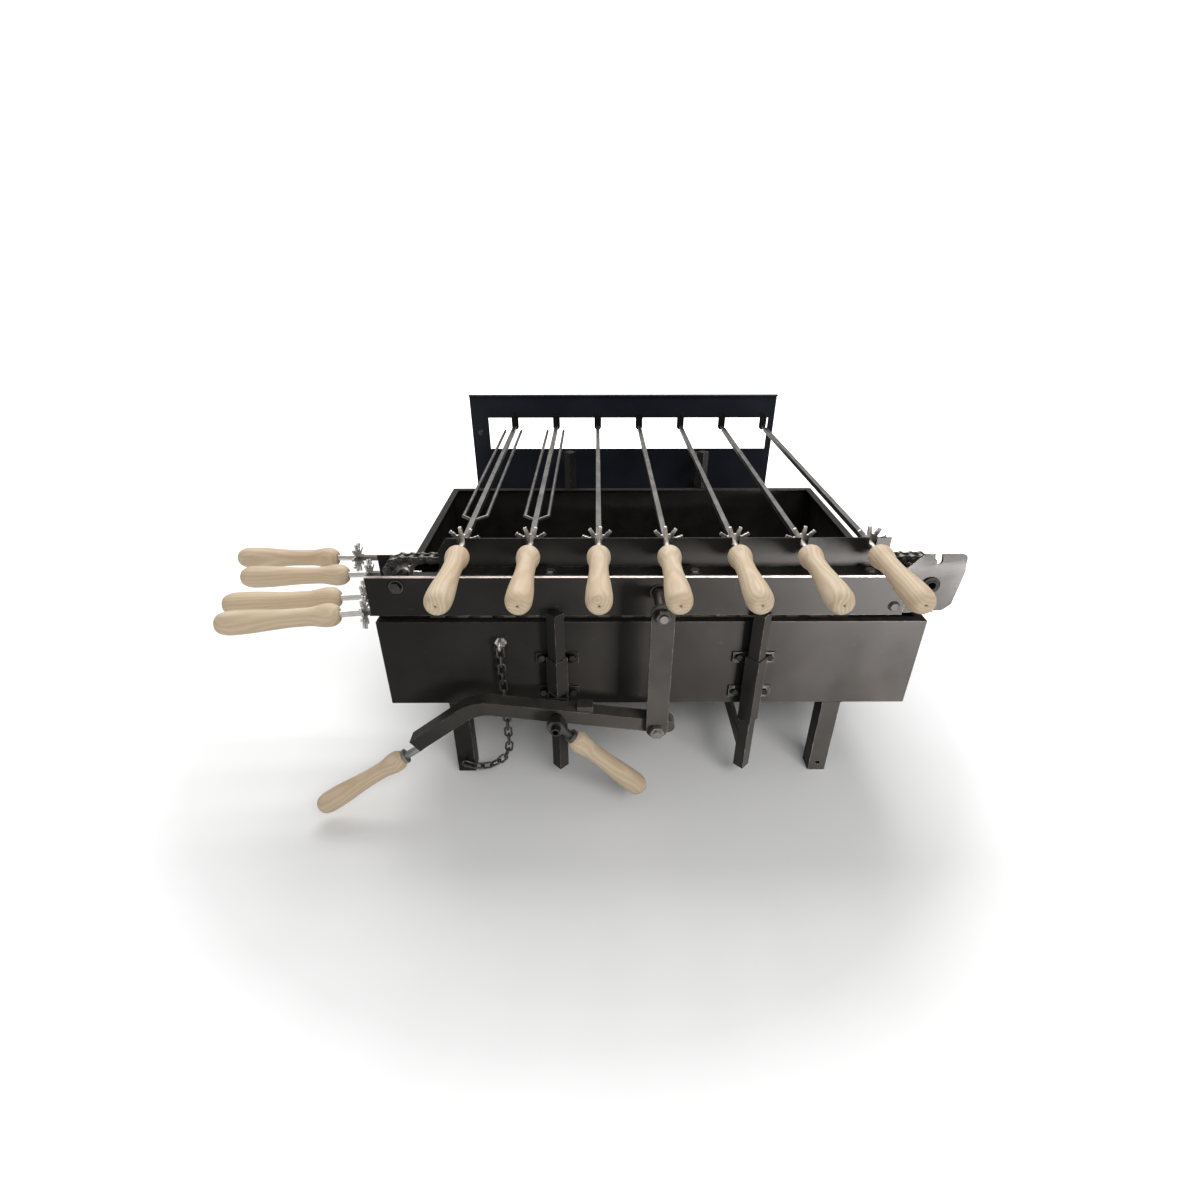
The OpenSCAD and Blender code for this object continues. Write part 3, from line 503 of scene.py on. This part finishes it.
def grip_radius(t, thick):
    """The CAD handle's outline: t is 0 at the shoulder and 1 at the end."""
    swell = 1.0 if t > GRIP_END else 0.0
    if GRIP_WAIST <= t <= GRIP_END:
        swell = hump((GRIP_END - t) / (GRIP_END - GRIP_WAIST))
    body = thick * (0.378 + 0.105 * hump((t - 0.1) / 0.17) + 0.114 * swell)
    return GRIP_FACE + (body - GRIP_FACE) * min(ease(t / 0.07), ease((1 - t) / 0.12))


def grip_profile(length, thick, tang):
    """Closed outline with the tang's blind bore at the shoulder and a small hole in the end."""
    hole, depth, lip = 1.5 * MM, 8 * MM, 0.5 * MM
    points = [(0, TANG_DEPTH), (tang, TANG_DEPTH), (tang, 0.4 * MM), (tang + 0.4 * MM, 0)]
    for k in range(GRIP_ROWS + 1):
        t = (1 - math.cos(math.pi * k / GRIP_ROWS)) / 2
        points.append((grip_radius(t, thick), t * length))
    points += [(hole + lip, length), (hole, length - lip), (hole, length - depth), (0, length - depth)]
    return points


def handle_line(node, direction):
    """Shoulder point and length of a handle whose axis points that way, from its CAD node's vertices."""
    axis = Vector(direction).normalized()
    side = axis.orthogonal().normalized()
    up = axis.cross(side)
    verts = [v.co for v in frame["nodes"][node].data.vertices]
    spans = [(min(v.dot(d) for v in verts), max(v.dot(d) for v in verts)) for d in (axis, side, up)]
    origin = axis * spans[0][0] + side * sum(spans[1]) / 2 + up * sum(spans[2]) / 2
    return origin, spans[0][1] - spans[0][0]


def wooden_handle(node, body, direction, thick, tang, seed):
    origin, length = handle_line(node, direction)

    def wobble(a, z):
        p = Vector((math.cos(a) * 0.9, math.sin(a) * 0.9, z * 45 + 7.3 * seed))
        return 0.22 * MM * noise.noise(p) if 0.004 < z < length - 0.003 else 0.0

    bm = bmesh.new()
    lathe(bm, grip_profile(length, thick * MM, tang * MM), GRIP_SIDES, wobble=wobble)
    place = frame_along(origin, direction) @ Matrix.Rotation(1.9 * seed, 4, "Z")
    piece = new_piece(node + "_turned", mesh_of(node, bm), WOODS[seed % len(WOODS)], body, place)
    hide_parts(node)


# Thickest diameter of each kind of handle and radius of its tang, in millimetres.
SPIT_GRIP = (30, 4.55)
LARGE_GRIP = (32, 4.55)
LEVER_GRIP = (29, 5.05)
LEVER_GRIP_TURN = math.radians(197)
LEVER_GRIP_DROP = math.radians(26)
lever_way = (math.cos(LEVER_GRIP_DROP) * math.cos(LEVER_GRIP_TURN),
             math.cos(LEVER_GRIP_DROP) * math.sin(LEVER_GRIP_TURN), -math.sin(LEVER_GRIP_DROP))
for k, body in enumerate(SPITS):
    wooden_handle("handle_%d" % (k + 1), body, FRONT, *SPIT_GRIP, k)
for k, body in enumerate(LARGE_SPITS):
    wooden_handle("large_handle_%d" % (k + 1), body, JOINTS[body + "_draw"]["axis"], *LARGE_GRIP, k + 7)
wooden_handle("lever_handle", "lever", lever_way, *LEVER_GRIP, 11)
wooden_handle("lock_handle", "lock", (1, 0, -1), *LEVER_GRIP, 12)

# ---------------------------------------------------------------- bright wheels on the skewers


def bright_wheel(node, origin, rod_way, half):
    """Gives a skewer's chain wheel and neck the zinc finish: they lie before the wheel's far face."""
    mesh = frame["nodes"][node].data
    mesh.materials.append(ZINC)
    reach = [(v.co - origin).dot(rod_way) for v in mesh.vertices]
    for face in mesh.polygons:
        if all(reach[v] <= half for v in face.vertices):
            face.material_index = 1


WHEEL_HALF = 1.6 * MM
WHEEL_BEFORE_GRIP = 30 * MM
wheel_low, wheel_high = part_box("drive_sprocket")
for k in range(len(SPITS)):
    bright_wheel("skewer_%d" % (k + 1), (wheel_low + wheel_high) / 2, Vector((0, 1, 0)), WHEEL_HALF)
for k, body in enumerate(LARGE_SPITS):
    way = Vector(JOINTS[body + "_draw"]["axis"]).normalized()
    shoulder, _ = handle_line("large_handle_%d" % (k + 1), way)
    bright_wheel("large_skewer_%d" % (k + 1), shoulder - way * WHEEL_BEFORE_GRIP, -way, WHEEL_HALF)

# ---------------------------------------------------------------- weld beads, washers, rivets and threads


def sweep(bm, points, sections, closed=False):
    """Tube through the points, a section (list of offsets in the two side directions) for each point."""
    rows = []
    count = len(points)
    for k, point in enumerate(points):
        ahead = points[(k + 1) % count] if closed or k + 1 < count else point
        back = points[k - 1] if closed or k else point
        way = (ahead - back).normalized()
        side = way.cross(Vector((0.13, 0.21, 0.97))).normalized()
        up = side.cross(way)
        rows.append([bm.verts.new(point + side * a + up * b) for a, b in sections[k]])
    sides = len(rows[0])
    for low, high in list(zip(rows, rows[1:])) + ([(rows[-1], rows[0])] if closed else []):
        for k in range(sides):
            n = (k + 1) % sides
            bm.faces.new((low[k], low[n], high[n], high[k]))
    if not closed:
        bm.faces.new(rows[0])
        bm.faces.new(list(reversed(rows[-1])))


def resampled(points, step, closed):
    """Even points along a polyline."""
    loop = points + [points[0]] if closed else points
    out = []
    for a, b in zip(loop, loop[1:]):
        parts = max(1, round((b - a).length / step))
        out += [a.lerp(b, k / parts) for k in range(parts)]
    return out if closed else out + [loop[-1]]


def bead(bm, corners, radius, closed=False):
    """Scalloped weld bead along a line of corners, in the box's millimetres."""
    step = radius * MM * 0.34
    points = resampled([at(*c) for c in corners], step, closed)
    sections = []
    for k in range(len(points)):
        edge = 1.0 if closed else min(1.0, 0.35 + 0.22 * min(k, len(points) - 1 - k))
        wave = 0.86 + 0.14 * abs(math.sin(k * 0.62))
        r = radius * MM * edge * wave * (1 + 0.10 * noise.noise(points[k] * 260))
        sections.append([(r * math.cos(math.pi * j / 5), r * math.sin(math.pi * j / 5)) for j in range(10)])
    sweep(bm, points, sections, closed)


def thread(bm, a, b, radius, pitch):
    """Helical ridge on a bar between two places, in the box's millimetres."""
    place = frame_along(at(*a), at(*b) - at(*a))
    length = (at(*b) - at(*a)).length
    turns = length / (pitch * MM)
    steps = int(turns * 20)
    ridge = radius * MM
    points = []
    for k in range(steps + 1):
        angle = 2 * math.pi * turns * k / steps
        points.append(place @ Vector((ridge * math.cos(angle), ridge * math.sin(angle), length * k / steps)))
    half = 0.36 * pitch * MM
    sections = [[(half * math.cos(math.pi * j / 3), half * math.sin(math.pi * j / 3)) for j in range(6)]
                for _ in points]
    sweep(bm, points, sections)


def washer(bm, place, way, inner, outer, thick):
    """Chamfered ring that stands on a place, its axis along way."""
    c = 0.2
    outline = [(inner, 0), (outer, 0), (outer, thick - c), (outer - c, thick)]
    outline += [(inner + c, thick), (inner, thick - c)]
    lathe(bm, [(r * MM, z * MM) for r, z in outline], 48, frame_along(at(*place), way))


def dome(bm, place, way, radius, height):
    """Rivet head or spot weld that stands on a place."""
    rows = 7
    outline = [(0, -0.3 * MM), (radius * MM, -0.3 * MM)]
    outline += [(radius * MM * math.cos(a), height * MM * math.sin(a))
                for a in (math.pi / 2 * k / rows for k in range(rows))]
    outline.append((0, height * MM))
    lathe(bm, outline, 32, frame_along(at(*place), way))


def square_about(x, y, half, z):
    return [(x + a * half, y + b * half, z) for a, b in ((-1, -1), (1, -1), (1, 1), (-1, 1))]


def upright(bm, x, y, span, radius):
    """Vertical bead at (x, y) over a span of z."""
    bead(bm, [(x, y, span[0]), (x, y, span[1])], radius)


SIDES = (-1, 1)
LEG_X = (-264, 256)
LEG_Y = (-237.5, 237.5)
LEG_HALF = 12.6
GUIDE_X = (-123, 137)
EAR_SPANS = ((144, 160), (201, 215))
EAR = (3.6, 255.4)  # half the space between a guide's ears, and how far front and back they meet the box
PIVOT_Z = 150
PIVOT_PLATE = (12.2, -268.4, 11)  # half width, y and half height of the lever pivot's weld
PIVOT_NOSE = (11.6, -268.8, -280.4)  # half width, y at the sides and y at the nose

bm = bmesh.new()
for x in LEG_X:
    for y in LEG_Y:
        bead(bm, square_about(x, y, LEG_HALF, BOX_Z), 1.7, True)
for x in GUIDE_X:
    for s in SIDES:
        for t in SIDES:
            for span in EAR_SPANS:
                upright(bm, x + s * EAR[0], t * EAR[1], span, 1.5)
half, y, rise = PIVOT_PLATE
for s in SIDES:
    upright(bm, GUIDE_X[0] + s * half, y, (PIVOT_Z - rise, PIVOT_Z + rise), 1.5)
half, y, nose = PIVOT_NOSE
for z in (PIVOT_Z - 12, PIVOT_Z + 12):
    bead(bm, [(GUIDE_X[0] - half, y, z), (GUIDE_X[0], nose, z), (GUIDE_X[0] + half, y, z)], 1.3)
new_piece("box_welds", mesh_of("box_welds", bm), WELD, "box")

# Upright beads on both sides of each guide post: half the space between them, y, span of z, radius.
POST_TO_RAIL = (2.3, -257.1, (275, 283.5), 1.6)
ARM_TO_PANEL = ((2.6, 358.6, (226, 244), 1.4), (2.6, 358.6, (286, 304), 1.4))
ARM_TO_POST = ((2.9, 275.0, (226, 244), 1.4), (2.9, 275.0, (286, 304), 1.4))
BAR_TO_POST = ((4.3, -258.6, (46, 66), 1.5), (4.3, 258.6, (46, 66), 1.5))

bm = bmesh.new()
for x in GUIDE_X:
    for s in SIDES:
        for half, y, span, radius in (POST_TO_RAIL, *ARM_TO_PANEL, *ARM_TO_POST, *BAR_TO_POST):
            upright(bm, x + s * half, y, span, radius)
new_piece("rack_welds", mesh_of("rack_welds", bm), WELD, "rack")

HOOK_SPOT = (3.4, 357.0, 379.5)

bm = bmesh.new()
for body in SPITS:
    middle = local(JOINTS[body + "_spin"]["pos_m"])
    for s in SIDES:
        dome(bm, (middle.x + s * HOOK_SPOT[0], HOOK_SPOT[1], HOOK_SPOT[2]), FRONT, 1.9, 0.45)
new_piece("hook_spot_welds", mesh_of("hook_spot_welds", bm), BLACK, "rack")

RIVET = (-309.5, 345)
PANEL_Y = 359.0
RAIL_Y = -256
RAIL_BOLTS = ((-128, -245, 330), (51, -245, 330), (268, -245, 330))
BRACKET_BOLTS = ((303, RAIL_Y, 287), (303, RAIL_Y, 315))
IDLER_Z = 315.95
IDLER_X = -318
LINK_BOLT = (7, RAIL_Y, 307)

bm = bmesh.new()
dome(bm, (RIVET[0], PANEL_Y - 1.4, RIVET[1]), FRONT, 4.6, 2.3)
washer(bm, (RIVET[0], PANEL_Y, RIVET[1]), FRONT, 4.0, 6.2, 0.8)
for place in RAIL_BOLTS:
    washer(bm, place, UP, 5.0, 7.6, 1.2)
for place in BRACKET_BOLTS:
    washer(bm, place, FRONT, 4.6, 7.0, 1.0)
washer(bm, (IDLER_X, RAIL_Y, IDLER_Z), FRONT, 6.3, 9.2, 1.4)
thread(bm, (IDLER_X, RAIL_Y - 3.2, IDLER_Z), (IDLER_X, RAIL_Y - 6.0, IDLER_Z), 3.7, 1.0)
washer(bm, LINK_BOLT, FRONT, 9.0, 11.6, 1.6)
new_piece("rack_hardware", mesh_of("rack_hardware", bm), DARK_STEEL, "rack")

LEVER_Y = -294
PLATE_ENDS = ((-95.5, 156.6), (-76.5, 154.1))  # (x, z) of the stop plate's ends on the lever's sloping top
PLATE_CORNERS = ((-96.3, 156.6), (-75.7, 154.0))

bm = bmesh.new()
for s in SIDES:
    bead(bm, [(x, LEVER_Y + s * 8.3, z) for x, z in PLATE_ENDS], 1.4)
for x, z in PLATE_CORNERS:
    bead(bm, [(x, LEVER_Y - 7.5, z), (x, LEVER_Y + 7.5, z)], 1.3)
new_piece("lever_welds", mesh_of("lever_welds", bm), WELD, "lever")

# ---------------------------------------------------------------- floor, light and camera


FLOOR_SIZE = 30.0  # metres
FLOOR_STEPS = 12


def floor_mesh():
    bm = bmesh.new()
    ticks = [FLOOR_SIZE * (k / FLOOR_STEPS - 0.5) for k in range(FLOOR_STEPS + 1)]
    grid = [[bm.verts.new((x, y, 0)) for x in ticks] for y in ticks]
    for row, behind in zip(grid, grid[1:]):
        for k in range(FLOOR_STEPS):
            bm.faces.new((row[k], row[k + 1], behind[k + 1], behind[k]))
    return mesh_of("floor", bm)


floor = bpy.data.objects.new("floor", floor_mesh())
bpy.context.scene.collection.objects.link(floor)
floor.data.materials.append(pale_floor("pale_floor"))


def soft_light(name, place, target, size, power, color=(1, 1, 1)):
    lamp = bpy.data.lights.new(name, "AREA")
    lamp.shape = "RECTANGLE"
    lamp.size, lamp.size_y = size
    lamp.energy = power
    lamp.color = color
    holder = bpy.data.objects.new(name, lamp)
    bpy.context.scene.collection.objects.link(holder)
    holder.location = place
    holder.rotation_euler = (Vector(target) - Vector(place)).to_track_quat("-Z", "Y").to_euler()
    holder.visible_camera = False
    return holder


soft_light("overhead_rear", place=(-0.1, 1.5, 2.4), target=(0, -0.1, 0.1), size=(2.8, 1.4), power=78)
soft_light("front_high", place=(0.9, -2.2, 2.1), target=(0.1, 0, 0.1), size=(1.8, 0.9), power=36,
           color=(1.0, 0.99, 0.97))

# A side light that only the black sheet steel takes: it lifts the paint towards the right end.
side_light = soft_light("side_on_paint", place=(0.98, -1.15, 0.20), target=(0.62, -0.25, 0.14),
                        size=(0.7, 0.3), power=21, color=(1.0, 0.965, 0.94))
side_light.data.spread = math.radians(62)
paint = bpy.data.collections.new("black_paint")
for node, (material, _) in DRESS.items():
    if material in (BLACK, BOX_BLACK, RAIL_BLACK, ARM_BLACK) and node != "tip_hooks":
        paint.objects.link(frame["nodes"][node])
side_light.light_linking.receiver_collection = paint

SKY_LIGHT = 0.42
SKY_SEEN = 1.1  # the camera sees the background as plain white
world = bpy.data.worlds.new("studio")
bpy.context.scene.world = world
world.use_nodes = True
sky = world.node_tree.nodes["Background"]
sky.inputs["Color"].default_value = (0.96, 0.98, 1.0, 1)
seen = world.node_tree.nodes.new("ShaderNodeLightPath").outputs["Is Camera Ray"]
level = world.node_tree.nodes.new("ShaderNodeMapRange")
level.inputs["To Min"].default_value = SKY_LIGHT
level.inputs["To Max"].default_value = SKY_SEEN
world.node_tree.links.new(seen, level.inputs["Value"])
world.node_tree.links.new(level.outputs["Result"], sky.inputs["Strength"])

CAMERA_DOWN = 29.8  # degrees below level
CAMERA_YAW = -0.28
camera = bpy.data.cameras.new("camera")
camera.sensor_width = 36
camera.lens = 18.63
view = bpy.data.objects.new("camera", camera)
bpy.context.scene.collection.objects.link(view)
view.location = at(-70, -929, 682)
view.rotation_euler = (math.radians(90 - CAMERA_DOWN), 0, math.radians(CAMERA_YAW))
bpy.context.scene.camera = view
bpy.context.scene.view_settings.view_transform = "Standard"
